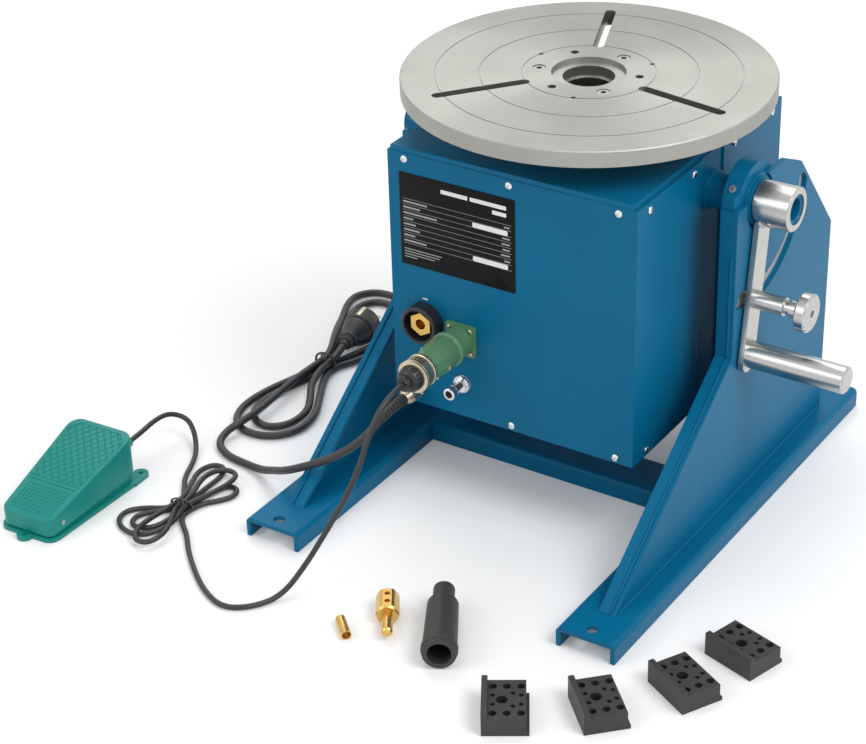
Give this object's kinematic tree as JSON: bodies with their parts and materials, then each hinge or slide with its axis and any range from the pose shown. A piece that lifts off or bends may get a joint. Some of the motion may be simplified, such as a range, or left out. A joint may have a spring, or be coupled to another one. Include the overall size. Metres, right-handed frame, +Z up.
{
  "type": "welding positioner",
  "caption": "Powered turntable on a head that tilts between two uprights, with a locking lever, a foot switch, tied cords and loose earth plug parts.",
  "frame": {"origin": "centre of the table's face, on the spindle axis, with the table level", "axes": "+Z up along the spindle axis, out of the table face; +X along the tilt axis towards the lever; +Y to the rear, away from the sockets"},
  "size_m": [0.8612, 0.7489, 0.467],
  "materials": {
    "blue_paint": "satin",
    "steel": "brushed",
    "machined_steel": "machined",
    "zinc": "bright",
    "brass": "satin",
    "black_rubber": "matte",
    "black_plastic": "matte",
    "green_plastic": "satin",
    "teal_paint": "satin",
    "motor_paint": "satin",
    "board": "gloss",
    "copper": "machined"
  },
  "bodies": {
    "base": {"left_foot": "blue_paint", "right_foot": "blue_paint", "cross_channel": "blue_paint", "left_upright_plate": "blue_paint", "right_upright_plate": "blue_paint", "left_upright_strip": "blue_paint", "right_upright_strip": "blue_paint", "left_bearing_block": "blue_paint", "right_bearing_block": "blue_paint", "tilt_bushes": "black_plastic", "block_set_screws": "zinc", "thrust_washer": "machined_steel", "index_plate": "steel", "pedal_base": "teal_paint", "pedal_pin": "machined_steel", "pedal_spring": "zinc", "pedal_switch": "black_plastic", "mains_lead": "black_rubber", "mains_hank": "black_rubber", "mains_plug": "black_rubber", "pedal_lead": "black_rubber", "pedal_hank": "black_rubber", "pedal_tail": "black_rubber", "rubber_feet": "black_rubber", "earth_plug_sleeve": "black_rubber", "earth_plug_contact": "brass", "earth_plug_ferrule": "brass"},
    "table": {"table_plate": "steel", "table_screws": "zinc", "spindle": "machined_steel", "spindle_gear": "machined_steel", "slip_ring": "copper"},
    "plunger": {"index_plunger": "machined_steel"},
    "pinion": {"drive_pinion": "machined_steel"},
    "treadle": {"pedal_treadle": "teal_paint"},
    "head": {"aux_connector": "zinc", "axle_collar": "machined_steel", "bearing_housing": "machined_steel", "brush_holder": "black_plastic", "control_board": "board", "cover_screws": "zinc", "earth_socket": "black_plastic", "earth_socket_insert": "brass", "front_cover": "blue_paint", "gear_motor": "motor_paint", "head_frame": "blue_paint", "left_axle": "blue_paint", "lever_arm": "steel", "lever_handle": "steel", "lever_hub": "steel", "mains_gland": "zinc", "motor_bracket": "machined_steel", "pedal_plug_shell": "green_plastic", "pedal_socket": "green_plastic", "plug_coupling": "zinc", "plug_gland": "black_plastic", "plunger_body": "steel", "rear_cover": "blue_paint", "right_axle": "blue_paint", "spindle_bearings": "machined_steel"}
  },
  "joints": [
    {"name": "tilt", "type": "hinge", "parent": "base", "child": "head", "pos_m": [0, 0, -0.101], "axis": [1, 0, 0], "range_deg": [0, 90]},
    {"name": "table_spin", "type": "hinge", "parent": "head", "child": "table", "pos_m": [0, 0, 0], "axis": [0, 0, 1], "continuous": true},
    {"name": "pinion_spin", "type": "hinge", "parent": "head", "child": "pinion", "pos_m": [0, 0.0975, -0.142], "axis": [0, 0, 1], "continuous": true},
    {"name": "plunger_slide", "type": "slide", "parent": "head", "child": "plunger", "axis": [1, 0, 0], "range_m": [-0.007, 0]},
    {"name": "pedal_press", "type": "hinge", "parent": "base", "child": "treadle", "pos_m": [-0.43765, -0.44795, -0.451], "axis": [-0.999, -0.0436, 0], "range_deg": [0, 5], "stiffness_Nm_per_rad": 30, "springref_deg": -6.02, "deforming": ["pedal_spring"]}
  ],
  "couplings": [
    {"joint": "pinion_spin", "follows": "table_spin", "ratio": -3.3333}
  ]
}
